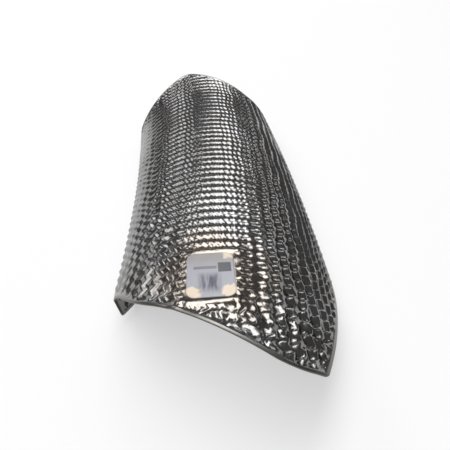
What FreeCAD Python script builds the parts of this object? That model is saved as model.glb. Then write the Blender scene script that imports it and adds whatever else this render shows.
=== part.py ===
import FreeCAD, Part
import math
import os
import Sketcher
from FreeCAD import Vector

# Heat shield: one pressed sheet of embossed foil in the form of a tunnel, with a blank label on a flat pad.
# Millimetres. X runs across the tunnel, Y along it to the back, Z up from the surface it lies on.

doc = FreeCAD.newDocument("heat_shield")
sheet = doc.addObject("Spreadsheet::Sheet", "sizes")

SIZES = [
    ("half_run", 132.0, "middle section to the front and the back section, along Y"),
    ("crest_mid", 44.0, "crest height at the middle section"),
    ("crest_rise", 6.5, "crest at both end sections, above the middle one"),
    ("crest_front_x", -9.5, "crest at the front section, sideways"),
    ("crest_back_x", 0.0, "crest at the back section, sideways"),
    ("left_front", 45.5, "radius of the left half of the front section"),
    ("left_mid", 56.5, "radius of the left half of the middle section"),
    ("left_back", 66.5, "radius of the left half of the back section"),
    ("right_front", 69.0, "radius of the right half of the front section"),
    ("right_mid", 64.0, "radius of the right half of the middle section"),
    ("right_back", 48.0, "radius of the right half of the back section"),
    ("fold_height", 12.8, "fold of the return flange at the left foot, height"),
    ("flange_fall", 62.0, "fall of the flange from the fold to the foot, degrees"),
    ("front_trim", -114.0, "slanted front edge at X 0, along Y"),
    ("front_slant", 30.5, "slant of the front edge in plan, degrees"),
    ("front_limit", -126.5, "square part of the front edge, along Y"),
    ("left_trim", -142.5, "left front corner cut at X 0, along Y"),
    ("left_slant", 54.0, "slant of the left front corner cut in plan, degrees"),
    ("back_trim", 125.0, "slanted back edge at X 0, along Y"),
    ("back_slant", 28.0, "slant of the back edge in plan, degrees"),
    ("back_limit", 108.0, "square part of the back edge, along Y"),
    ("corner_trim", 143.0, "left back corner cut at X 0, along Y"),
    ("corner_slant", 30.5, "slant of the left back corner cut in plan, degrees"),
    ("side_trim", -58.0, "foot of the rising right side edge, along Y"),
    ("flange_trim", -64.0, "foot of the rising flange edge, along Y"),
    ("side_slant", 27.0, "rise of the side edges towards the front, degrees"),
    ("edge_round", 1.0, "rounding of the sharp corners of the trimmed edge"),
    ("bend_round", 3.5, "rounding of the gentle bends of the trimmed edge"),
    ("pitch", 6.0, "embossing, from one dimple to the next round the arch"),
    ("row_pitch", 5.4, "embossing, from one dimple to the next along Y"),
    ("emboss_depth", 1.6, "embossing, ridge to dimple bottom"),
    ("foil", 0.6, "thickness of the sheet"),
    ("hem_width", 1.6, "plain hemmed band round the edge"),
    ("hem_thick", 1.0, "thickness of the hemmed band"),
    ("label_width", 19.0, "label, across the tunnel"),
    ("label_length", 24.0, "label, along the tunnel"),
    ("label_thick", 0.3, "label and its adhesive"),
    ("label_round", 3.5, "corner radius of the label"),
    ("label_side", 1.5, "middle of the label, sideways from the crest"),
    ("label_middle", -88.0, "middle of the label, along Y"),
    ("pad_margin", 0.8, "flat pad round the label, at least"),
]
for row, (name, value, note) in enumerate(SIZES, start=1):
    sheet.set("A%d" % row, name)
    sheet.set("B%d" % row, str(value))
    sheet.setAlias("B%d" % row, name)
    sheet.set("C%d" % row, note)
doc.recompute()


def size(name):
    return float(getattr(sheet, name))


HALF_RUN = size("half_run")
PITCH = size("pitch")
ROW_PITCH = size("row_pitch")
FOIL = size("foil")
HEM_WIDTH = size("hem_width")
HEM_THICK = size("hem_thick")
EMBOSS = size("emboss_depth")
FLANGE_FALL = math.radians(size("flange_fall"))
LABEL_Y = size("label_middle")


def through(front, middle, back, y):
    """Smooth run of a size through the front, middle and back sections."""
    station = y / HALF_RUN
    return middle + (back - front) / 2 * station + ((back + front) / 2 - middle) * station * station


def crest_x(y):
    return through(size("crest_front_x"), 0.0, size("crest_back_x"), y)


def crest_z(y):
    return through(size("crest_rise"), 0.0, size("crest_rise"), y) + size("crest_mid")


def left_radius(y):
    return through(size("left_front"), size("left_mid"), size("left_back"), y)


def right_radius(y):
    return through(size("right_front"), size("right_mid"), size("right_back"), y)


def fold_arc(y):
    """Way round the arch from the crest down to the fold of the left foot."""
    radius = left_radius(y)
    return radius * math.acos(1 - (crest_z(y) - size("fold_height")) / radius)


# The fold follows a line of the embossing grid
FOLD = math.ceil(fold_arc(0.0) / PITCH) * PITCH


def arch(turn, radius, y):
    """Point of the round arch turned away from the crest, with the direction out of the sheet."""
    out = Vector(math.sin(turn), 0, math.cos(turn))
    return Vector(crest_x(y), y, crest_z(y) - radius) + out * radius, out


def formed(u, y):
    """Point of the formed sheet u round the arch from the crest, with the direction out of the sheet."""
    if u >= 0:
        return arch(u / right_radius(y), right_radius(y), y)
    point, out = arch(max(u, -FOLD) / FOLD * fold_arc(y) / left_radius(y), left_radius(y), y)
    flange = Vector(math.cos(FLANGE_FALL), 0, -math.sin(FLANGE_FALL))
    flange_out = Vector(flange.z, 0, -flange.x)
    if u < -FOLD:
        return point + flange * (-FOLD - u), flange_out
    if u == -FOLD:
        out = (out + flange_out) / (1 + out.dot(flange_out))
    return point, out


def rounded(first, second, radius):
    """Distance inside two edges that meet in a rounded corner."""
    if first < radius and second < radius:
        return radius - math.hypot(radius - first, radius - second)
    return min(first, second)


def slanted(point, trim, slant):
    """Distance in plan behind a slanted edge that crosses X 0 at trim."""
    angle = math.radians(slant)
    return point.x * math.sin(angle) + (point.y - trim) * math.cos(angle)


def inside(u, y, radius=size("edge_round")):
    """Distance of a place on the sheet inside the trimmed edge, whose sharp corners have that radius."""
    point = formed(u, y)[0]
    bend = max(radius, size("bend_round"))
    front = slanted(point, size("front_trim"), size("front_slant"))
    left = slanted(point, size("left_trim"), size("left_slant"))
    front = rounded(rounded(front, y - size("front_limit"), bend), left, bend)
    back = max(-slanted(point, size("back_trim"), size("back_slant")), size("back_limit") - y)
    corner = -slanted(point, size("corner_trim"), -size("corner_slant"))
    back = rounded(back, corner, bend)
    rise = math.radians(size("side_slant"))
    foot = size("side_trim") if u > 0 else size("flange_trim")
    side = point.z * math.cos(rise) + (y - foot) * math.sin(rise)
    return rounded(rounded(rounded(front, back, radius), point.z, radius), side, radius)


# Flat pad for the label: whole cells of the embossing grid about the crest
PAD_COLUMNS = math.ceil((size("label_width") / 2 + size("label_side") + size("pad_margin")) / PITCH)
PAD_ROWS = math.ceil((size("label_length") / 2 + size("pad_margin")) / ROW_PITCH - 0.5)
PAD_SLOPE = 2 * size("crest_rise") * LABEL_Y / HALF_RUN ** 2
PAD_NORMAL = Vector(0, -PAD_SLOPE, 1).normalize()
PAD_CENTRE = Vector(crest_x(LABEL_Y), LABEL_Y, crest_z(LABEL_Y))


def row_y(row):
    return LABEL_Y + (row + 0.5) * ROW_PITCH


def on_pad(column, row):
    return abs(column) <= PAD_COLUMNS and abs(row + 0.5) <= PAD_ROWS + 0.5


class Sheet:
    """Outer and inner skin of the embossed sheet as flat facets between numbered corners."""

    def __init__(self):
        self.outer = []
        self.inner = []
        self.place = []
        self.number = {}
        self.facets = []

    def corner(self, key, u, y, point, out, thick):
        if key not in self.number:
            self.number[key] = len(self.outer)
            self.outer.append(point + out * (thick / 2))
            self.inner.append(point - out * (thick / 2))
            self.place.append((u, y))
        return self.number[key]

    def fan(self, ring):
        for second, third in zip(ring[1:-1], ring[2:]):
            self.facets.append((ring[0], second, third))

    def rim(self):
        """Edges that only one facet has, from corner to corner."""
        edges = {(a, b) for f in self.facets for a, b in zip(f, f[1:] + f[:1])}
        return sorted((a, b) for a, b in edges if (b, a) not in edges)


skin = Sheet()
COLUMNS = math.ceil(2.0 * max(size("left_back"), size("right_mid")) / PITCH)
FIRST_ROW = math.floor((size("front_limit") - LABEL_Y) / ROW_PITCH) - 1
LAST_ROW = math.ceil((size("corner_trim") - LABEL_Y) / ROW_PITCH) + 1
field = {}
for column in range(-COLUMNS, COLUMNS + 1):
    for row in range(FIRST_ROW, LAST_ROW + 1):
        field[column, row] = inside(column * PITCH, row_y(row)) - HEM_WIDTH


def cell_corners(column, row):
    return [(column, row), (column + 1, row), (column + 1, row + 1), (column, row + 1)]


def is_embossed(column, row):
    corners = cell_corners(column, row)
    if not all(field.get(place, -1.0) > 0 for place in corners):
        return False
    return not all(on_pad(*place) for place in corners)


def grid_corner(column, row):
    """Corner of the grid: a ridge crossing where all cells about it are embossed, level elsewhere."""
    u, y = column * PITCH, row_y(row)
    if on_pad(column, row):
        point = Vector(crest_x(y) + u, y, PAD_CENTRE.z + PAD_SLOPE * (y - LABEL_Y))
        return skin.corner((column, row), u, y, point, PAD_NORMAL, FOIL)
    point, out = formed(u, y)
    about = [(column - 1, row - 1), (column, row - 1), (column - 1, row), (column, row)]
    if all(is_embossed(*cell) for cell in about):
        point = point + out * (EMBOSS / 2)
    return skin.corner((column, row), u, y, point, out, FOIL)


def edge_corner(near, far):
    """Corner where a line of the grid runs out into the hemmed band."""
    least = 0.04
    share = min(max(field[near] / (field[near] - field[far]), least), 1 - least)
    u = (near[0] + (far[0] - near[0]) * share) * PITCH
    y = row_y(near[1] + (far[1] - near[1]) * share)
    point, out = formed(u, y)
    return skin.corner((near, far), u, y, point, out, HEM_THICK)


for column in range(-COLUMNS, COLUMNS):
    for row in range(FIRST_ROW, LAST_ROW):
        corners = cell_corners(column, row)
        if not any(field[place] > 0 for place in corners):
            continue
        ring = []
        for here, after in zip(corners, corners[1:] + corners[:1]):
            if field[here] > 0:
                ring.append(grid_corner(*here))
            if field[here] > 0 >= field[after]:
                ring.append(edge_corner(here, after))
            if field[after] > 0 >= field[here]:
                ring.append(edge_corner(after, here))
        if is_embossed(column, row):
            u, y = (column + 0.5) * PITCH, row_y(row + 0.5)
            point, out = formed(u, y)
            bottom = skin.corner((column, row, "dimple"), u, y, point - out * (EMBOSS / 2), out, FOIL)
            for first, second in zip(ring, ring[1:] + ring[:1]):
                skin.facets.append((bottom, first, second))
        else:
            skin.fan(ring)


def band_corner(number):
    """Corner on the trimmed edge, out across the hemmed band from a corner of the embossed field."""
    u, y = skin.place[number]
    step = 0.05
    soft = 4 * HEM_WIDTH
    slope_u = (inside(u + step, y, soft) - inside(u - step, y, soft)) / (2 * step)
    slope_y = (inside(u, y + step, soft) - inside(u, y - step, soft)) / (2 * step)
    steep = math.hypot(slope_u, slope_y)
    ahead_u, ahead_y = -slope_u / steep, -slope_y / steep
    for _ in range(6):
        here = inside(u, y)
        beyond = inside(u + ahead_u * step, y + ahead_y * step)
        u += ahead_u * step * here / (here - beyond)
        y += ahead_y * step * here / (here - beyond)
    point, out = formed(u, y)
    return skin.corner((number, "hem"), u, y, point, out, HEM_THICK)


for first, second in skin.rim():
    skin.fan((second, first, band_corner(first), band_corner(second)))

# Closed solid: outer skin, inner skin turned over, and the cut edge between them
count = len(skin.outer)
facets = list(skin.facets)
facets += [(c + count, b + count, a + count) for a, b, c in skin.facets]
for first, second in skin.rim():
    facets.append((second, first, first + count))
    facets.append((second, first + count, second + count))
shell = Part.Shape()
shell.makeShapeFromMesh((skin.outer + skin.inner, facets), 1e-5)
solid = Part.makeSolid(shell)
shield = doc.addObject("Part::Feature", "shield")
shield.Label = "shield"
shield.Shape = solid

# Blank label: a thin plate with rounded corners
body = doc.addObject("PartDesign::Body", "label")
body.Label = "label"
outline = body.newObject("Sketcher::SketchObject", "label_outline")
outline.AttachmentSupport = (body.Origin.OriginFeatures[3], [""])
outline.MapMode = "FlatFace"
half_width, half_length = size("label_width") / 2, size("label_length") / 2
corners = [Vector(-half_width, -half_length), Vector(half_width, -half_length),
           Vector(half_width, half_length), Vector(-half_width, half_length)]
for start, end in zip(corners, corners[1:] + corners[:1]):
    outline.addGeometry(Part.LineSegment(start, end))
for line in range(4):
    outline.addConstraint(Sketcher.Constraint("Coincident", line, 2, (line + 1) % 4, 1))
for line in (0, 2):
    outline.addConstraint(Sketcher.Constraint("Horizontal", line))
for line in (1, 3):
    outline.addConstraint(Sketcher.Constraint("Vertical", line))
outline.addConstraint(Sketcher.Constraint("Symmetric", 0, 1, 1, 2, -1, 1))
wide = outline.addConstraint(Sketcher.Constraint("DistanceX", 0, 1, 0, 2, 2 * half_width))
outline.setExpression("Constraints[%d]" % wide, "sizes.label_width")
long = outline.addConstraint(Sketcher.Constraint("DistanceY", 1, 1, 1, 2, 2 * half_length))
outline.setExpression("Constraints[%d]" % long, "sizes.label_length")
plate = body.newObject("PartDesign::Pad", "label_plate")
plate.Profile = outline
plate.setExpression("Length", "sizes.label_thick")
doc.recompute()
upright = ["Edge%d" % (i + 1) for i, edge in enumerate(plate.Shape.Edges)
           if abs(edge.tangentAt(edge.FirstParameter).z) > 0.9]
rounds = body.newObject("PartDesign::Fillet", "label_corners")
rounds.Base = (plate, upright)
rounds.setExpression("Radius", "sizes.label_round")
body.Tip = rounds
doc.recompute()

# Shared frame: origin in the middle of the shield's footprint, on the surface it lies on
bounds = shield.Shape.BoundBox
origin = Vector(bounds.Center.x, bounds.Center.y, bounds.ZMin)
shield.Placement.Base = origin * -1
seat = PAD_CENTRE + Vector(size("label_side"), 0, 0) + PAD_NORMAL * (FOIL / 2) - origin
body.Placement = FreeCAD.Placement(seat, FreeCAD.Rotation(Vector(0, 0, 1), PAD_NORMAL))
doc.recompute()

for item in doc.Objects:
    if "Invalid" in item.State or "Error" in item.State:
        raise RuntimeError("%s did not compute: %s" % (item.Name, item.State))
os.makedirs("parts", exist_ok=True)
for item in (shield, body):
    if item.Shape.isNull() or not item.Shape.isValid():
        raise RuntimeError("%s has no valid shape" % item.Label)
    item.Shape.exportStep("parts/%s.step" % item.Label)
    box = item.Shape.BoundBox
    print(item.Label, len(item.Shape.Faces), "faces", round(item.Shape.Volume, 1), "mm3",
          [round(v, 2) for v in (box.XMin, box.YMin, box.ZMin, box.XMax, box.YMax, box.ZMax)])
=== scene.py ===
import math

import bpy
import numpy as np
from mathutils import Matrix, Vector


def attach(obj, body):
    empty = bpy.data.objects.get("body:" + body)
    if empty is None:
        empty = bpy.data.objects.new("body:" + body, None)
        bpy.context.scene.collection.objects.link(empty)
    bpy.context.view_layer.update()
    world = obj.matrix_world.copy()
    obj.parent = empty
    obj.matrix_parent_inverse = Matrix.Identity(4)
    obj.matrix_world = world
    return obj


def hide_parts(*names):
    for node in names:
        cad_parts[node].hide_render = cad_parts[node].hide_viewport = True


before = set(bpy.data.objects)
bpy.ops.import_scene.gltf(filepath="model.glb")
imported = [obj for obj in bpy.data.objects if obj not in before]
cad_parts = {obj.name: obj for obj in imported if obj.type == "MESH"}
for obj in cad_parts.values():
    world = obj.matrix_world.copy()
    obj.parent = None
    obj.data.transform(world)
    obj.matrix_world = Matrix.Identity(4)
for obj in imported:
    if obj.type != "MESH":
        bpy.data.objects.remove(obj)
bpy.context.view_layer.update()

# Sizes of the pressed form in millimetres, as the part's source has them
MM = 0.001
HALF_RUN = 132.0
CREST_SIDEWAYS = (-9.5, 0.0, 0.0)
CREST_HEIGHT = (50.5, 44.0, 50.5)
LEFT_RADIUS = (45.5, 56.5, 66.5)
RIGHT_RADIUS = (69.0, 64.0, 48.0)
FOLD_HEIGHT = 12.8
FLANGE_FALL = math.radians(62.0)
FRONT_TRIM, FRONT_SLANT, FRONT_LIMIT = -114.0, 30.5, -126.5
LEFT_TRIM, LEFT_SLANT = -142.5, 54.0
BACK_TRIM, BACK_SLANT, BACK_LIMIT = 125.0, 28.0, 108.0
CORNER_TRIM, CORNER_SLANT = 143.0, 30.5
SIDE_TRIM, FLANGE_TRIM, SIDE_SLANT = -58.0, -64.0, math.radians(27.0)
EDGE_ROUND, BEND_ROUND = 1.0, 3.5
PITCH, ROW_PITCH = 6.0, 5.4
FOLD = 66.0
EMBOSS_DEPTH = 1.6
FOIL = 0.6
HEM_WIDTH, HEM_THICK = 1.6, 1.0
LABEL_WIDTH, LABEL_LENGTH, LABEL_THICK, LABEL_ROUND = 19.0, 24.0, 0.3, 3.5
LABEL_SIDE, LABEL_Y = 1.5, -88.0
ORIGIN = np.array([1.9474, 2.7074, -0.2347])

# Fineness of the visual sheet: samples in each dimple, the columns and rows laid out, and the lines across
# the hemmed band
COLUMN_STEPS, ROW_STEPS = 8, 4
FIRST_COLUMN, LAST_COLUMN = -15, 17
FIRST_ROW, LAST_ROW = -9, 44
BAND_LINES = (1.4, 0.9, 0.3, 0.0)

# Finer than the source has it: the blunt tip of the back edge, the flat under the label, the swing of the
# zigzag in columns, and the pressed depth, which keeps the ridges inside the solid's box
BACK_END = 131.9
PAD_HALF_WIDTH, PAD_HALF_LENGTH = 9.7, 12.3
ZIGZAG = 0.34
PRESSED_DEPTH = 0.92 * EMBOSS_DEPTH

# Slow waves by which the columns wander: swing in columns, radians in each millimetre round the arch and
# along it, and start
WANDER_WAVES = ((0.09, 0.13, 0.19, 1.0), (0.06, 0.31, -0.27, 2.3))

# Stretches over which the pressing changes, in millimetres round the arch or along it, and by how much
PAD_EDGE, PAD_BLEND = (0.0, 1.4), (0.0, 7.0)
MIDDLE_BEGINS, MIDDLE_ENDS, MIDDLE_LOSS = (35.0, 60.0), (86.0, 100.0), 0.28
BACK_BEGINS, BACK_GAIN = (94.0, 106.0), 0.35
FRONT_ENDS, FRONT_GAIN = (-50.0, -5.0), 0.22
RIGHT_BEGINS, RIGHT_ENDS, RIGHT_GAIN = (22.0, 38.0), (-20.0, 40.0), 0.3
LEFT_BEGINS, LEFT_LOSS = (40.0, 54.0), 0.25
CREST_MIDDLE, CREST_WIDENS = -4.0, (-60.0, 0.0)
CREST_FRONT, CREST_WIDER = (18.0, 34.0), (10.0, 8.0)
LINES_END, LINES_BEGIN, LINES_STOP = (-75.0, -40.0), (11.0, 19.0), (24.0, 36.0)
BARS_WIDE, BARS_LONG = (8.0, 10.0), (14.5, 16.5)
CRUMPLE_SLANT, CRUMPLE_BEGINS, CRUMPLE_SIDE = 0.55, (62.0, 100.0), (8.0, 26.0)
LIP_BEGINS, LIP_SIDE = (102.0, 106.0), (-16.0, -6.0)


def through(sections, y):
    """Smooth run of a size through the front, middle and back sections."""
    front, middle, back = sections
    station = y / HALF_RUN
    return middle + (back - front) / 2 * station + ((back + front) / 2 - middle) * station ** 2


def formed(u, y):
    """Points of the sheet u round the arch from the crest, with the directions out of the sheet."""
    left, on_fold = u < 0, 1e-6
    radius = np.where(left, through(LEFT_RADIUS, y), through(RIGHT_RADIUS, y))
    crest = through(CREST_HEIGHT, y)
    fold_turn = np.arccos(1 - (crest - FOLD_HEIGHT) / radius)
    turn = np.where(left, np.maximum(u, -FOLD) / FOLD * fold_turn, u / radius)
    out = np.stack([np.sin(turn), 0 * turn, np.cos(turn)], -1)
    point = np.stack([through(CREST_SIDEWAYS, y), y, crest - radius], -1) + out * radius[..., None]
    flange = np.array([math.cos(FLANGE_FALL), 0, -math.sin(FLANGE_FALL)])
    flange_out = np.array([flange[2], 0, -flange[0]])
    point = point + np.maximum(-FOLD - u, 0)[..., None] * flange
    mitre = (out + flange_out) / (1 + out @ flange_out)[..., None]
    out = np.where((u < -FOLD)[..., None], flange_out, out)
    return point, np.where((np.abs(u + FOLD) < on_fold)[..., None], mitre, out)


def rounded(first, second, radius):
    """Distance inside two edges that meet in a rounded corner."""
    corner = radius - np.hypot(radius - first, radius - second)
    return np.where((first < radius) & (second < radius), corner, np.minimum(first, second))


def slanted(point, trim, slant):
    """Distance in plan behind a slanted edge that crosses X 0 at trim."""
    angle = math.radians(slant)
    return point[..., 0] * math.sin(angle) + (point[..., 1] - trim) * math.cos(angle)


def inside(u, y, radius=EDGE_ROUND):
    """Distance of places on the sheet inside the trimmed edge, whose sharp corners have that radius."""
    point = formed(u, y)[0]
    height = point[..., 2]
    bend = max(radius, BEND_ROUND)
    front = rounded(slanted(point, FRONT_TRIM, FRONT_SLANT), y - FRONT_LIMIT, bend)
    front = rounded(front, slanted(point, LEFT_TRIM, LEFT_SLANT), bend)
    back = np.maximum(-slanted(point, BACK_TRIM, BACK_SLANT), BACK_LIMIT - y)
    back = np.minimum(rounded(back, -slanted(point, CORNER_TRIM, -CORNER_SLANT), bend), BACK_END - y)
    foot = np.where(u > 0, SIDE_TRIM, FLANGE_TRIM)
    side = height * math.cos(SIDE_SLANT) + (y - foot) * math.sin(SIDE_SLANT)
    return rounded(rounded(rounded(front, back, radius), height, radius), side, radius)


def settle(u, y, inset):
    """Moves places across the hemmed band, fanning out at its corners, to the line inset from the edge."""
    step, rounds = 0.05, 6
    soft = 4 * HEM_WIDTH
    slope_u = (inside(u + step, y, soft) - inside(u - step, y, soft)) / (2 * step)
    slope_y = (inside(u, y + step, soft) - inside(u, y - step, soft)) / (2 * step)
    steep = np.hypot(slope_u, slope_y)
    ahead_u, ahead_y = -slope_u / steep * step, -slope_y / steep * step
    for _ in range(rounds):
        here = inside(u, y) - inset
        beyond = inside(u + ahead_u, y + ahead_y) - inset
        u, y = u + ahead_u * here / (here - beyond), y + ahead_y * here / (here - beyond)
    return u, y


def eased(value, start, end):
    """Soft step from 0 at start to 1 at end."""
    share = np.clip((value - start) / (end - start), 0, 1)
    return share * share * (3 - 2 * share)


def linear(hex_colour):
    """Linear colour of an sRGB hex value."""
    parts = [int(hex_colour[i:i + 2], 16) / 255 for i in (1, 3, 5)]
    return tuple(c / 12.92 if c <= 0.04045 else ((c + 0.055) / 1.055) ** 2.4 for c in parts) + (1.0,)


def add(tree, kind, links=(), **settings):
    """Adds a node with its settings, and sets or links its inputs."""
    node = tree.nodes.new(kind)
    for name, value in settings.items():
        setattr(node, name, value)
    for socket, value in dict(links).items():
        if isinstance(value, bpy.types.NodeSocket):
            tree.links.new(value, node.inputs[socket])
        else:
            node.inputs[socket].default_value = value
    return node


def new_material(name):
    """Material with only its surface shader and output."""
    material = bpy.data.materials.new(name)
    material.use_nodes = True
    material.node_tree.nodes.clear()
    shader = add(material.node_tree, "ShaderNodeBsdfPrincipled")
    add(material.node_tree, "ShaderNodeOutputMaterial", {"Surface": shader.outputs[0]})
    return material, material.node_tree, shader


# Aluminised steel foil, rolled bright and pressed with dimples: grey metal that mirrors
# the room in small broken glints, a little stained, and duller along the folded hem
def make_foil():
    material, tree, shader = new_material("aluminised_steel_foil")
    place = add(tree, "ShaderNodeTexCoord").outputs["Object"]
    stain_mm, haze_mm, crease_mm = 26.0, 3.0, 1.4
    stain = add(tree, "ShaderNodeTexNoise", {"Vector": place, "Scale": 1 / (stain_mm * MM), "Detail": 3.0})
    haze = add(tree, "ShaderNodeTexNoise", {"Vector": place, "Scale": 1 / (haze_mm * MM), "Detail": 2.0})
    crease = add(tree, "ShaderNodeTexNoise", {"Vector": place, "Scale": 1 / (crease_mm * MM), "Detail": 2.0})
    tint = add(tree, "ShaderNodeValToRGB", {"Fac": stain.outputs["Fac"]})
    tint.color_ramp.elements[0].position = 0.32
    tint.color_ramp.elements[0].color = linear("#7c7a77")
    tint.color_ramp.elements[1].position = 0.68
    tint.color_ramp.elements[1].color = linear("#8a8a8a")
    # The warm stain lies about the label
    warm_middle, warm_ragged, warm_full, warm_ends = (-0.003, -0.088, 0.047), 16 * MM, 22 * MM, 38 * MM
    far = add(tree, "ShaderNodeVectorMath", {0: place, 1: warm_middle},
              operation="DISTANCE").outputs["Value"]
    far = add(tree, "ShaderNodeMath", {0: stain.outputs["Fac"], 1: warm_ragged, 2: far},
              operation="MULTIPLY_ADD").outputs[0]
    warm = add(tree, "ShaderNodeMapRange", {"Value": far, "From Min": warm_full, "From Max": warm_ends,
                                            "To Min": 0.45, "To Max": 0.0}).outputs[0]
    tint = add(tree, "ShaderNodeMix", {0: warm, 6: tint.outputs[0], 7: linear("#978878")},
               data_type="RGBA")
    inset = add(tree, "ShaderNodeAttribute", attribute_name="inset").outputs["Fac"]
    band = add(tree, "ShaderNodeMapRange", {"Value": inset, "From Min": 0.1, "From Max": HEM_WIDTH,
                                            "To Min": 1.0, "To Max": 0.0}).outputs[0]
    colour = add(tree, "ShaderNodeMix", {0: band, 6: tint.outputs[2], 7: linear("#6f6d68")},
                 data_type="RGBA")
    least_rough, most_rough, hem_rough = 0.14, 0.26, 0.42
    rough = add(tree, "ShaderNodeMapRange", {"Value": haze.outputs["Fac"], "From Min": 0.3, "From Max": 0.7,
                                             "To Min": least_rough, "To Max": most_rough}).outputs[0]
    rough = add(tree, "ShaderNodeMix", {0: band, 2: rough, 3: hem_rough}).outputs[0]
    bump = add(tree, "ShaderNodeBump", {"Height": crease.outputs["Fac"], "Strength": 0.25,
                                        "Distance": 0.15 * MM})
    tree.links.new(colour.outputs[2], shader.inputs["Base Color"])
    tree.links.new(rough, shader.inputs["Roughness"])
    tree.links.new(bump.outputs[0], shader.inputs["Normal"])
    shader.inputs["Metallic"].default_value = 1.0
    return material


# Polyester label film, satin silver: lilac grey, with painted shade darkening it towards its back edge,
# rubbed to a warm gloss at three corners, with a smear down its middle, a plain bar and a plain square
def make_film():
    material, tree, shader = new_material("satin_polyester_film")
    place = add(tree, "ShaderNodeUVMap", uv_map="label_mm").outputs[0]
    grain_mm, blotch_mm, ragged_mm, fade_mm, soft_mm = 0.8, 2.2, 4.0, 0.9, 0.12
    shade_starts, shade_full = 3.0, 9.0
    smear_middle, smear_share = (-0.6, -4.6, 0), (0.23, 0.2, 0)
    grain = add(tree, "ShaderNodeTexNoise", {"Vector": place, "Scale": 1 / grain_mm, "Detail": 2.0})
    colour = add(tree, "ShaderNodeMix",
                 {0: grain.outputs["Fac"], 6: linear("#a0a0a9"), 7: linear("#afafb6")},
                 data_type="RGBA").outputs[2]
    # Painted shade: the film's colour darkens towards its back edge
    height = add(tree, "ShaderNodeSeparateXYZ", {0: place}).outputs[1]
    painted_shade = add(tree, "ShaderNodeMapRange", {"Value": height, "From Min": shade_starts, "From Max": shade_full,
                                              "To Min": 0.0, "To Max": 0.6}).outputs[0]
    colour = add(tree, "ShaderNodeMix", {0: painted_shade, 6: colour, 7: linear("#948d85")},
                 data_type="RGBA").outputs[2]
    blotch = add(tree, "ShaderNodeTexNoise", {"Vector": place, "Scale": 1 / blotch_mm, "Detail": 2.0})
    blotch = blotch.outputs["Fac"]
    worn_corners = (((-7.2, -9.8, 0), 4.8), ((7.2, -9.4, 0), 4.8), ((7.8, 10.8, 0), 4.2))
    for corner, reach in worn_corners:
        far = add(tree, "ShaderNodeVectorMath", {0: place, 1: corner},
                  operation="DISTANCE").outputs["Value"]
        ragged = add(tree, "ShaderNodeMath", {0: blotch, 1: ragged_mm, 2: far},
                     operation="MULTIPLY_ADD").outputs[0]
        bare = reach + fade_mm
        worn = add(tree, "ShaderNodeMapRange", {"Value": ragged, "From Min": reach, "From Max": bare,
                                                "To Min": 0.9, "To Max": 0.0}).outputs[0]
        colour = add(tree, "ShaderNodeMix", {0: worn, 6: colour, 7: linear("#e9d9c0")},
                     data_type="RGBA").outputs[2]
    fields = (((-2.2, 3.4, 0), (4.6, 0.8, 0), "#77777d"), ((5.6, 3.3, 0), (2.6, 2.6, 0), "#3a3a40"))
    for middle, half, ink in fields:
        offset = add(tree, "ShaderNodeVectorMath", {0: place, 1: middle}, operation="SUBTRACT").outputs[0]
        offset = add(tree, "ShaderNodeVectorMath", {0: offset}, operation="ABSOLUTE").outputs[0]
        over = add(tree, "ShaderNodeVectorMath", {0: offset, 1: half}, operation="SUBTRACT").outputs[0]
        over = add(tree, "ShaderNodeSeparateXYZ", {0: over})
        over = add(tree, "ShaderNodeMath", {0: over.outputs[0], 1: over.outputs[1]},
                   operation="MAXIMUM").outputs[0]
        printed = add(tree, "ShaderNodeMapRange", {"Value": over, "From Min": -soft_mm, "From Max": soft_mm,
                                                   "To Min": 0.85, "To Max": 0.0}).outputs[0]
        colour = add(tree, "ShaderNodeMix", {0: printed, 6: colour, 7: linear(ink)},
                     data_type="RGBA").outputs[2]
    streaks_in_mm = (0.75, 0.11, 1.0)
    streaks = add(tree, "ShaderNodeMapping", {"Vector": place, "Scale": streaks_in_mm}).outputs[0]
    streaks = add(tree, "ShaderNodeTexNoise", {"Vector": streaks, "Scale": 1.0,
                                               "Detail": 2.0}).outputs["Fac"]
    smear = add(tree, "ShaderNodeVectorMath", {0: place, 1: smear_middle},
                operation="SUBTRACT").outputs[0]
    smear = add(tree, "ShaderNodeVectorMath", {0: smear, 1: smear_share},
                operation="MULTIPLY").outputs[0]
    smear = add(tree, "ShaderNodeVectorMath", {0: smear}, operation="ABSOLUTE").outputs[0]
    smear = add(tree, "ShaderNodeSeparateXYZ", {0: smear})
    smear = add(tree, "ShaderNodeMath", {0: smear.outputs[0], 1: smear.outputs[1]},
                operation="MAXIMUM").outputs[0]
    smear = add(tree, "ShaderNodeMapRange", {"Value": smear, "From Min": 0.45, "From Max": 1.15,
                                             "To Min": 1.0, "To Max": 0.0}).outputs[0]
    streaks = add(tree, "ShaderNodeMapRange", {"Value": streaks, "From Min": 0.3, "From Max": 0.58})
    smear = add(tree, "ShaderNodeMath", {0: smear, 1: streaks.outputs[0]}, operation="MULTIPLY").outputs[0]
    colour = add(tree, "ShaderNodeMix", {0: smear, 6: colour, 7: linear("#4a4c5c")},
                 data_type="RGBA").outputs[2]
    bump = add(tree, "ShaderNodeBump", {"Height": blotch, "Strength": 0.3, "Distance": 0.1 * MM})
    tree.links.new(colour, shader.inputs["Base Color"])
    tree.links.new(bump.outputs[0], shader.inputs["Normal"])
    shader.inputs["Roughness"].default_value = 0.34
    shader.inputs["Specular IOR Level"].default_value = 0.6
    return material


class Sheet:
    """Places and facets of one skin of the sheet, numbered as they are met."""

    def __init__(self):
        self.places = []
        self.number = {}
        self.facets = []

    def corner(self, key, u, y):
        """Number of the place with that key, which is added where it is new."""
        if key not in self.number:
            self.number[key] = len(self.places)
            self.places.append((u, y))
        return self.number[key]

    def rim(self):
        """Edges that only one facet has."""
        edges = {(a, b) for f in self.facets for a, b in zip(f, f[1:] + f[:1])}
        return sorted((a, b) for a, b in edges if (b, a) not in edges)


def row_y(row):
    """Place along the sheet of a row of the pattern."""
    return LABEL_Y + (row + 0.5) * ROW_PITCH


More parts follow.
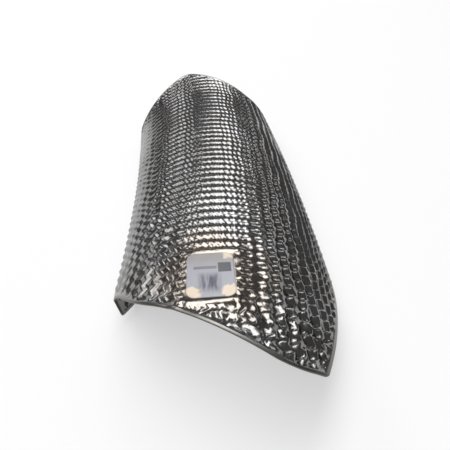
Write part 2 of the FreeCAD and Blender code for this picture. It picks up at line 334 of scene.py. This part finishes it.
def shift(u, y):
    """Sideways shift of the pattern in columns: a zigzag that wanders, and is straight at the fold."""
    row = (y - LABEL_Y) / ROW_PITCH - 0.5
    swing = ZIGZAG * (2 * np.abs(row - np.round(row)) - 0.5)
    wander = sum(high * np.sin(by_u * u + by_y * y + start) for high, by_u, by_y, start in WANDER_WAVES)
    straight_columns = 1.5
    return (swing + wander) * np.minimum(np.abs(u + FOLD) / PITCH / straight_columns, 1)


def grid_places(column, row):
    """Places on the sheet of the columns and rows of the shifted pattern."""
    u, y = column * PITCH, row_y(row)
    rounds = 8
    for _ in range(rounds):
        u = (column + shift(u, y)) * PITCH
    return u, y


def trimmed_sheet():
    """Fine skin inside the hemmed band, cut along it, with the band's lines laid round it."""
    columns = np.arange(FIRST_COLUMN * COLUMN_STEPS, LAST_COLUMN * COLUMN_STEPS + 1) / COLUMN_STEPS
    rows = np.arange(FIRST_ROW * ROW_STEPS, LAST_ROW * ROW_STEPS + 1) / ROW_STEPS
    column, row = np.meshgrid(columns, rows, indexing="ij")
    u, y = grid_places(column, row)
    field = inside(u, y) - HEM_WIDTH
    nearest = 0.15
    skin = Sheet()
    for i in range(len(columns) - 1):
        for j in range(len(rows) - 1):
            corners = [(i, j), (i + 1, j), (i + 1, j + 1), (i, j + 1)]
            kept = [field[c] > 0 for c in corners]
            if not any(kept):
                continue
            ring = []
            for k, here in enumerate(corners):
                after = corners[(k + 1) % 4]
                if kept[k]:
                    ring.append(skin.corner(here, u[here], y[here]))
                if kept[k] != kept[(k + 1) % 4]:
                    near, far = (here, after) if kept[k] else (after, here)
                    share = min(max(field[near] / (field[near] - field[far]), nearest), 1 - nearest)
                    ring.append(skin.corner((near, far), u[near] + (u[far] - u[near]) * share,
                                            y[near] + (y[far] - y[near]) * share))
            # Creases run from each ridge crossing down to the bottom of the dimple
            rising = (i // 2 % 2) == (j // 2 % 2)
            if len(ring) == 4 and all(kept) and not rising:
                ring = ring[1:] + ring[:1]
            skin.facets += [(ring[0], b, c) for b, c in zip(ring[1:-1], ring[2:])]
    inset = list(inside(*np.array(skin.places).T))
    rim = skin.rim()
    for line in BAND_LINES:
        loop = sorted({a for edge in rim for a in edge})
        line_u, line_y = settle(*np.array([skin.places[a] for a in loop]).T, line)
        beyond = {a: skin.corner((a, line), pu, py) for a, pu, py in zip(loop, line_u, line_y)}
        inset += [line] * len(loop)
        for a, b in rim:
            skin.facets += [(b, a, beyond[a]), (b, beyond[a], beyond[b])]
        rim = [(beyond[a], beyond[b]) for a, b in rim]
    return np.array(skin.places), np.array(inset), np.array(skin.facets), np.array(rim)


def plain_form():
    """The trimmed sheet as a closed double skin without thickness, with what the pressing needs."""
    places, inset, facets, rim = trimmed_sheet()
    u, y = places.T
    point, out = formed(u, y)
    slope = (CREST_HEIGHT[0] - CREST_HEIGHT[1]) * 2 * LABEL_Y / HALF_RUN ** 2
    level = through(CREST_HEIGHT, LABEL_Y) + slope * (y - LABEL_Y)
    pad = np.stack([through(CREST_SIDEWAYS, y) + u, y, level], -1)
    pad_out = np.array([0, -slope, 1]) / math.hypot(slope, 1)
    past_pad = np.maximum(np.abs(u - LABEL_SIDE) - PAD_HALF_WIDTH, np.abs(y - LABEL_Y) - PAD_HALF_LENGTH)
    pressed = 1 - eased(past_pad, *PAD_EDGE)
    flattened = 1 - eased(past_pad, *PAD_BLEND)
    strength = 1 - MIDDLE_LOSS * eased(y, *MIDDLE_BEGINS) * (1 - eased(y, *MIDDLE_ENDS))
    strength += BACK_GAIN * eased(y, *BACK_BEGINS) + FRONT_GAIN * (1 - eased(y, *FRONT_ENDS))
    strength += RIGHT_GAIN * eased(u, *RIGHT_BEGINS) * (1 - eased(y, *RIGHT_ENDS))
    strength -= LEFT_LOSS * eased(-u, *LEFT_BEGINS)
    # Ribs stand on the crest only; the walls, and the lines beside the label, have whole dimples
    wider = eased(y, *CREST_WIDENS)
    crest_end, wall_start = (edge + more * wider for edge, more in zip(CREST_FRONT, CREST_WIDER))
    flank = eased(np.abs(u - CREST_MIDDLE), crest_end, wall_start)
    beside = np.abs(u - LABEL_SIDE)
    lined = (1 - eased(y, *LINES_END)) * eased(beside, *LINES_BEGIN) * (1 - eased(u, *LINES_STOP))
    flank = np.maximum(flank, lined)
    barred = (1 - eased(beside, *BARS_WIDE)) * (1 - eased(np.abs(y - LABEL_Y), *BARS_LONG))
    point = point + (pad - point) * flattened[:, None]
    out = out + (pad_out - out) * flattened[:, None]
    ahead = -(point[:, 1] + CRUMPLE_SLANT * point[:, 0])
    crumpled = eased(ahead, *CRUMPLE_BEGINS) * eased(u, *CRUMPLE_SIDE)
    crumpled = np.maximum(crumpled, eased(-y, *LIP_BEGINS) * eased(u, *LIP_SIDE))
    count = len(places)
    wall = np.concatenate([rim[:, [1, 0]], rim + count], 1)
    mesh = bpy.data.meshes.new("heat_shield")
    triangles = np.concatenate([facets, facets[:, ::-1] + count]).tolist()
    mesh.from_pydata(np.tile((point - ORIGIN) * MM, (2, 1)).tolist(), [], triangles + wall.tolist())
    measures = {"across": u / PITCH - shift(u, y), "along": (y - LABEL_Y) / ROW_PITCH - 0.5,
                "inset": inset, "pressed": pressed, "barred": barred, "crumpled": crumpled,
                "strength": strength, "flank": flank, "lined": lined}
    for name, values in measures.items():
        mesh.attributes.new(name, "FLOAT", "POINT").data.foreach_set("value", np.tile(values, 2))
    mesh.attributes.new("side", "FLOAT", "POINT").data.foreach_set("value", np.repeat([1.0, -1.0], count))
    outward = mesh.attributes.new("out", "FLOAT_VECTOR", "POINT")
    outward.data.foreach_set("vector", np.tile(out, (2, 1)).ravel())
    return mesh


def pressing_tree():
    """Nodes that press the dimples into the plain form, and give the foil and its hem their thickness."""
    tree = bpy.data.node_groups.new("dimple_pressing", "GeometryNodeTree")
    sizes = ("Dimple depth", "Foil thickness", "Hem thickness", "Hem width mm", "Run-out mm", "Row fall",
             "Dimple fall", "Rib fall", "Flank fall", "Crumple", "Roundness", "Wander in dimples",
             "Wander mm")
    inputs = [("Form", "NodeSocketGeometry")] + [(name, "NodeSocketFloat") for name in sizes]
    inputs += [("Seed", "NodeSocketInt"), ("Metal", "NodeSocketMaterial")]
    for name, kind in inputs:
        tree.interface.new_socket(name, in_out="INPUT", socket_type=kind)
    tree.interface.new_socket("Sheet", in_out="OUTPUT", socket_type="NodeSocketGeometry")
    given = add(tree, "NodeGroupInput").outputs
    read = {}
    for name in ("across", "along", "inset", "pressed", "barred", "crumpled", "strength", "flank", "lined",
                 "side"):
        read[name] = add(tree, "GeometryNodeInputNamedAttribute", {"Name": name},
                         data_type="FLOAT").outputs[0]
    out = add(tree, "GeometryNodeInputNamedAttribute", {"Name": "out"},
              data_type="FLOAT_VECTOR").outputs[0]

    # Uneven pressing: the grid wanders a little, and more where the front corner is crumpled
    more_wander, least_depth = 3.0, 0.72
    place = add(tree, "GeometryNodeInputPosition").outputs[0]
    fine = add(tree, "ShaderNodeMath", {0: 1 / MM, 1: given["Wander mm"]}, operation="DIVIDE").outputs[0]
    wander = add(tree, "ShaderNodeTexNoise",
                 {"Vector": place, "W": given["Seed"], "Scale": fine, "Detail": 1.5}, noise_dimensions="4D")
    reach = add(tree, "ShaderNodeMath", {0: read["crumpled"], 1: more_wander, 2: 1.0},
                operation="MULTIPLY_ADD").outputs[0]
    reach = add(tree, "ShaderNodeMath", {0: reach, 1: given["Wander in dimples"]},
                operation="MULTIPLY").outputs[0]
    shift = add(tree, "ShaderNodeVectorMath", {0: wander.outputs["Color"], 1: (0.5, 0.5, 0.5)},
                operation="SUBTRACT")
    shift = add(tree, "ShaderNodeVectorMath", {0: shift.outputs[0], "Scale": reach},
                operation="SCALE").outputs[0]
    shift = add(tree, "ShaderNodeSeparateXYZ", {0: shift})
    falls = []
    for name, axis, half in (("across", 0, 0.5), ("across", 0, 0.25), ("along", 1, 0.5)):
        moved = add(tree, "ShaderNodeMath", {0: read[name], 1: shift.outputs[axis]},
                    operation="ADD").outputs[0]
        sharp = add(tree, "ShaderNodeMath", {0: moved, 1: half}, operation="PINGPONG").outputs[0]
        wave = add(tree, "ShaderNodeMath", {0: moved, 1: math.pi / half}, operation="MULTIPLY").outputs[0]
        wave = add(tree, "ShaderNodeMath", {0: wave}, operation="COSINE").outputs[0]
        wave = add(tree, "ShaderNodeMath", {0: wave, 1: -half / 2, 2: half / 2},
                   operation="MULTIPLY_ADD").outputs[0]
        falls.append(add(tree, "ShaderNodeMix", {0: given["Roundness"], 2: sharp, 3: wave}).outputs[0])
    # Dimples on the crest have a low rib down their middle, and before and behind the label the rows are
    # plain bars; ribs gain and rows lose where the sheet is crumpled, and rows lose beside the label
    crumpled_gain, crumpled_loss, lined_loss = 0.3, 0.3, 0.5
    smooth = add(tree, "ShaderNodeMath", {0: 1.0, 1: read["barred"]}, operation="SUBTRACT").outputs[0]
    ribs = add(tree, "ShaderNodeMath", {0: falls[0], 1: given["Dimple fall"]},
               operation="MULTIPLY").outputs[0]
    ribs = add(tree, "ShaderNodeMath", {0: falls[1], 1: given["Rib fall"], 2: ribs},
               operation="MULTIPLY_ADD").outputs[0]
    pits = add(tree, "ShaderNodeMath", {0: falls[0], 1: given["Flank fall"]},
               operation="MULTIPLY").outputs[0]
    ribs = add(tree, "ShaderNodeMix", {0: read["flank"], 2: ribs, 3: pits}).outputs[0]
    ribs = add(tree, "ShaderNodeMath", {0: ribs, 1: smooth}, operation="MULTIPLY").outputs[0]
    torn = add(tree, "ShaderNodeMath", {0: read["crumpled"], 1: crumpled_gain, 2: 1.0},
               operation="MULTIPLY_ADD").outputs[0]
    ribs = add(tree, "ShaderNodeMath", {0: ribs, 1: torn}, operation="MULTIPLY").outputs[0]
    rows = add(tree, "ShaderNodeMath", {0: read["crumpled"], 1: -crumpled_loss, 2: 1.0},
               operation="MULTIPLY_ADD").outputs[0]
    rows = add(tree, "ShaderNodeMath", {0: rows, 1: given["Row fall"]}, operation="MULTIPLY").outputs[0]
    weaker = add(tree, "ShaderNodeMath", {0: read["lined"], 1: -lined_loss, 2: 1.0},
                 operation="MULTIPLY_ADD").outputs[0]
    rows = add(tree, "ShaderNodeMath", {0: rows, 1: weaker}, operation="MULTIPLY").outputs[0]
    relief = add(tree, "ShaderNodeMath", {0: falls[2], 1: rows, 2: ribs},
                 operation="MULTIPLY_ADD").outputs[0]
    # Where the front corner is crumpled, ragged creases run along the sheet across the pattern
    creases_in_dimple, crease_level = (3.1, 2.2, 1.0), 0.45
    ragged = add(tree, "ShaderNodeCombineXYZ", {0: read["across"], 1: read["along"],
                                                2: given["Seed"]}).outputs[0]
    ragged = add(tree, "ShaderNodeVectorMath", {0: ragged, 1: creases_in_dimple},
                 operation="MULTIPLY").outputs[0]
    ragged = add(tree, "ShaderNodeTexNoise", {"Vector": ragged, "Scale": 1.0,
                                              "Detail": 1.0}).outputs["Fac"]
    ragged = add(tree, "ShaderNodeMath", {0: ragged, 1: crease_level}, operation="SUBTRACT").outputs[0]
    ragged = add(tree, "ShaderNodeMath", {0: ragged, 1: given["Crumple"]},
                 operation="MULTIPLY").outputs[0]
    relief = add(tree, "ShaderNodeMath", {0: ragged, 1: read["crumpled"], 2: relief},
                 operation="MULTIPLY_ADD").outputs[0]
    # Stronger pressing goes deeper, while the ridges stay level
    relief = add(tree, "ShaderNodeMath", {0: relief, 1: read["strength"]},
                 operation="MULTIPLY").outputs[0]
    relief = add(tree, "ShaderNodeMath", {0: 1.0, 1: relief}, operation="SUBTRACT").outputs[0]

    # Pressing runs out towards the hem, and under the label
    end = add(tree, "ShaderNodeMath", {0: given["Hem width mm"], 1: given["Run-out mm"]},
              operation="ADD").outputs[0]
    free = add(tree, "ShaderNodeMapRange", {"Value": read["inset"], "From Min": given["Hem width mm"],
                                            "From Max": end}, interpolation_type="SMOOTHSTEP").outputs[0]
    kept = add(tree, "ShaderNodeMath", {0: 1.0, 1: read["pressed"]}, operation="SUBTRACT").outputs[0]
    free = add(tree, "ShaderNodeMath", {0: free, 1: kept}, operation="MULTIPLY").outputs[0]
    uneven = add(tree, "ShaderNodeMapRange",
                 {"Value": wander.outputs["Fac"], "From Min": 0.3, "From Max": 0.7,
                  "To Min": least_depth, "To Max": 1.0}).outputs[0]
    free = add(tree, "ShaderNodeMath", {0: free, 1: uneven}, operation="MULTIPLY").outputs[0]
    rise = add(tree, "ShaderNodeMath", {0: relief, 1: free}, operation="MULTIPLY").outputs[0]
    half_depth = add(tree, "ShaderNodeMath", {0: given["Dimple depth"], 1: 0.5},
                     operation="MULTIPLY").outputs[0]
    rise = add(tree, "ShaderNodeMath", {0: rise, 1: half_depth}, operation="MULTIPLY").outputs[0]

    # Two layers in the folded hem, rounded at its rim, and one in the field
    step_mm, rim_mm, rim_share = 0.2, 0.4, 0.55
    step = add(tree, "ShaderNodeMath", {0: given["Hem width mm"], 1: step_mm},
               operation="SUBTRACT").outputs[0]
    thick = add(tree, "ShaderNodeMapRange", {"Value": read["inset"], "From Min": step,
                                             "From Max": given["Hem width mm"],
                                             "To Min": given["Hem thickness"],
                                             "To Max": given["Foil thickness"]})
    rim = add(tree, "ShaderNodeMapRange", {"Value": read["inset"], "From Min": 0.0, "From Max": rim_mm,
                                           "To Min": rim_share, "To Max": 1.0}).outputs[0]
    thick = add(tree, "ShaderNodeMath", {0: thick.outputs[0], 1: rim}, operation="MULTIPLY").outputs[0]
    half = add(tree, "ShaderNodeMath", {0: thick, 1: 0.5}, operation="MULTIPLY").outputs[0]
    rise = add(tree, "ShaderNodeMath", {0: half, 1: read["side"], 2: rise},
               operation="MULTIPLY_ADD").outputs[0]
    offset = add(tree, "ShaderNodeVectorMath", {0: out, "Scale": rise}, operation="SCALE").outputs[0]
    sheet = add(tree, "GeometryNodeSetPosition", {"Geometry": given["Form"], "Offset": offset}).outputs[0]
    sheet = add(tree, "GeometryNodeSetShadeSmooth", {"Geometry": sheet, "Shade Smooth": True}).outputs[0]
    sheet = add(tree, "GeometryNodeRealizeInstances", {"Geometry": sheet}).outputs[0]
    sheet = add(tree, "GeometryNodeSetMaterial", {"Geometry": sheet,
                                                  "Material": given["Metal"]}).outputs[0]
    add(tree, "NodeGroupOutput", {0: sheet})
    return tree


def make_shield():
    """The embossed sheet: the pressing worked into the plain form, and made a plain mesh."""
    shield = bpy.data.objects.new("shield_sheet", plain_form())
    bpy.context.scene.collection.objects.link(shield)
    pressing = shield.modifiers.new("pressing", "NODES")
    tree = pressing_tree()
    pressing.node_group = tree
    given = {"Dimple depth": PRESSED_DEPTH * MM, "Foil thickness": FOIL * MM,
             "Hem thickness": HEM_THICK * MM, "Hem width mm": HEM_WIDTH, "Run-out mm": 0.9,
             "Row fall": 2.45, "Dimple fall": 0.45,
             "Rib fall": 2.25, "Flank fall": 2.3, "Crumple": 3.5, "Roundness": 0.16,
             "Wander in dimples": 0.16, "Wander mm": 9.0, "Seed": 7, "Metal": make_foil()}
    for item in tree.interface.items_tree:
        if item.name in given:
            pressing[item.identifier] = given[item.name]
    bpy.context.view_layer.update()
    whole = bpy.data.meshes.new_from_object(shield.evaluated_get(bpy.context.evaluated_depsgraph_get()))
    shield.modifiers.clear()
    shield.data = whole
    return shield


def make_label():
    """The label: a thin film with rounded corners that lies on the flat pad."""
    half_width, half_length = LABEL_WIDTH / 2, LABEL_LENGTH / 2
    slope = (CREST_HEIGHT[0] - CREST_HEIGHT[1]) * 2 * LABEL_Y / HALF_RUN ** 2
    up = np.array([0, -slope, 1]) / math.hypot(slope, 1)
    ahead = np.array([0, up[2], -up[1]])
    middle = np.array([through(CREST_SIDEWAYS, LABEL_Y) + LABEL_SIDE, LABEL_Y,
                       through(CREST_HEIGHT, LABEL_Y)])
    seat = middle + up * FOIL / 2 - ORIGIN
    lanes, stations = 39, 49
    a, b = np.meshgrid(np.linspace(-1, 1, lanes), np.linspace(-1, 1, stations), indexing="ij")
    flat = np.stack([a * half_width, b * half_length], -1)
    # Places in each corner square are drawn in to the corner's arc
    core = np.array([half_width, half_length]) - LABEL_ROUND
    past = np.maximum(np.abs(flat) - core, 0)
    far = np.hypot(past[..., 0], past[..., 1])
    drawn = past * (past.max(-1) / np.where(far > 0, far, 1))[..., None]
    flat = np.sign(flat) * (np.minimum(np.abs(flat), core) + drawn)
    edge = LABEL_ROUND - np.hypot(*np.moveaxis(np.maximum(np.abs(flat) - core, 0), -1, 0))
    inset = np.minimum(edge, (np.array([half_width, half_length]) - np.abs(flat)).min(-1))
    # The film is a little uneven, and thinner at its rounded edge
    edge_fall, edge_reach = 0.1, 0.5
    uneven, uneven_reach = 0.04, 2.0
    by_width, by_length, start = 0.9, 0.6, 0.4
    swell = uneven * (np.sin(flat[..., 0] * by_width + start) * np.cos(flat[..., 1] * by_length) - 1)
    height = LABEL_THICK - edge_fall * (1 - eased(inset, 0.0, edge_reach))
    height = height + swell * eased(inset, 0.0, uneven_reach)
    points, faces = [], []
    for level in (height, 0 * height):
        place = seat + flat[..., :1] * np.array([1.0, 0, 0]) + flat[..., 1:] * ahead
        place = place + level[..., None] * up
        points += (place.reshape(-1, 3) * MM).tolist()
    count = lanes * stations
    for i in range(lanes - 1):
        for j in range(stations - 1):
            first, second = i * stations + j, (i + 1) * stations + j
            quad = (first, second, second + 1, first + 1)
            faces.append(quad)
            faces.append(tuple(k + count for k in reversed(quad)))
    around = [i * stations for i in range(lanes - 1)]
    around += [(lanes - 1) * stations + j for j in range(stations - 1)]
    around += [i * stations + stations - 1 for i in range(lanes - 1, 0, -1)]
    around += list(range(stations - 1, 0, -1))
    for k, l in zip(around, around[1:] + around[:1]):
        faces.append((l, k, k + count, l + count))
    mesh = bpy.data.meshes.new("label_film")
    mesh.from_pydata(points, [], faces)
    mesh.shade_smooth()
    layer = mesh.uv_layers.new(name="label_mm")
    corners = np.empty(len(mesh.loops), dtype=int)
    mesh.loops.foreach_get("vertex_index", corners)
    layer.data.foreach_set("uv", np.tile(flat.reshape(-1, 2), (2, 1))[corners].astype(np.float32).ravel())
    mesh.materials.append(make_film())
    label = bpy.data.objects.new("label_film", mesh)
    bpy.context.scene.collection.objects.link(label)
    return label


def make_floor():
    """Pale matt floor."""
    half, white_share = 4.0, 0.5
    mesh = bpy.data.meshes.new("floor")
    mesh.from_pydata([(-half, -half, 0), (half, -half, 0), (half, half, 0), (-half, half, 0)], [],
                     [(0, 1, 2, 3)])
    material, tree, shader = new_material("matt_white_paper")
    shader.inputs["Base Color"].default_value = linear("#f4f4f4")
    shader.inputs["Roughness"].default_value = 0.9
    shader.inputs["Specular IOR Level"].default_value = 0.1
    # Half of what is seen of it is plain white, so that its shadow stays light
    ray = add(tree, "ShaderNodeLightPath").outputs
    seen = add(tree, "ShaderNodeMath", {0: ray["Is Camera Ray"], 1: ray["Is Glossy Ray"]},
               operation="MAXIMUM").outputs[0]
    seen = add(tree, "ShaderNodeMath", {0: seen, 1: ray["Is Transmission Ray"]},
               operation="MAXIMUM").outputs[0]
    share = add(tree, "ShaderNodeMath", {0: seen, 1: white_share}, operation="MULTIPLY").outputs[0]
    plain = add(tree, "ShaderNodeEmission", {"Color": (1.0, 1.0, 1.0, 1.0), "Strength": 1.0}).outputs[0]
    both = add(tree, "ShaderNodeMixShader", {0: share, 1: shader.outputs[0], 2: plain}).outputs[0]
    tree.links.new(both, tree.nodes["Material Output"].inputs["Surface"])
    mesh.materials.append(material)
    floor = bpy.data.objects.new("floor", mesh)
    bpy.context.scene.collection.objects.link(floor)


def make_light():
    """Three soft lamps, seen in the foil as glints, and a dim room, palest low down ahead and behind."""
    # Name, direction from the part, distance, width and depth in metres, and power in watts
    lamps = (("lamp_above", (-0.2, 0.13, 1.0), 3.0, 6.0, 1.4, 122.0),
             ("lamp_left", (-0.56, 0.6, 0.62), 3.0, 1.3, 0.8, 10.0),
             ("lamp_right", (0.5, 0.5, 0.7), 3.0, 0.4, 0.8, 3.0))
    for name, towards, far, wide, deep, power in lamps:
        lamp = bpy.data.lights.new(name, "AREA")
        lamp.shape = "RECTANGLE"
        lamp.size = wide
        lamp.size_y = deep
        lamp.energy = power
        holder = bpy.data.objects.new(name, lamp)
        holder.location = Vector(towards).normalized() * far
        holder.rotation_euler = Vector(towards).to_track_quat("Z", "Y").to_euler()
        bpy.context.scene.collection.objects.link(holder)
    world = bpy.data.worlds.new("grey_room")
    bpy.context.scene.world = world
    world.use_nodes = True
    world.node_tree.nodes.clear()
    towards = add(world.node_tree, "ShaderNodeTexCoord").outputs["Generated"]
    towards = add(world.node_tree, "ShaderNodeVectorMath", {0: towards}, operation="ABSOLUTE").outputs[0]
    darker_towards = (0.38, 0.0, 1.0)
    height = add(world.node_tree, "ShaderNodeVectorMath", {0: towards, 1: darker_towards},
                 operation="DOT_PRODUCT").outputs["Value"]
    room = add(world.node_tree, "ShaderNodeValToRGB", {"Fac": height})
    room.color_ramp.elements[0].position = 0.0
    room.color_ramp.elements[0].color = linear("#dcdcda")
    room.color_ramp.elements[1].position = 0.4
    room.color_ramp.elements[1].color = linear("#626264")
    top = room.color_ramp.elements.new(0.9)
    top.color = linear("#727274")
    light = add(world.node_tree, "ShaderNodeBackground", {"Color": room.outputs[0]})
    add(world.node_tree, "ShaderNodeOutputWorld", {"Surface": light.outputs[0]})


def make_camera():
    """Camera at the photograph's viewing angle."""
    pitch, yaw, roll = 0.7256, 0.0506, -0.0225
    stand_mm = np.array([-2.487, -180.943, 154.939])
    sensor, focal_pixels, picture_pixels = 36.0, 359.56, 450
    ahead = Vector((math.sin(yaw) * math.cos(pitch), math.cos(yaw) * math.cos(pitch), -math.sin(pitch)))
    level = Vector((math.cos(yaw), -math.sin(yaw), 0))
    upright = level.cross(ahead)
    right = level * math.cos(roll) + upright * math.sin(roll)
    up = upright * math.cos(roll) - level * math.sin(roll)
    lens = bpy.data.cameras.new("camera")
    lens.sensor_width = sensor
    lens.lens = sensor * focal_pixels / picture_pixels
    lens.clip_start = 0.01
    camera = bpy.data.objects.new("camera", lens)
    stand = (stand_mm - ORIGIN) * MM
    camera.matrix_world = Matrix.Translation(stand) @ Matrix((right, up, -ahead)).transposed().to_4x4()
    bpy.context.scene.collection.objects.link(camera)
    bpy.context.scene.camera = camera


shield = make_shield()
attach(shield, "root")
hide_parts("shield")
label = make_label()
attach(label, "root")
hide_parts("label")
make_floor()
make_light()
make_camera()
bpy.context.scene.view_settings.view_transform = "Standard"
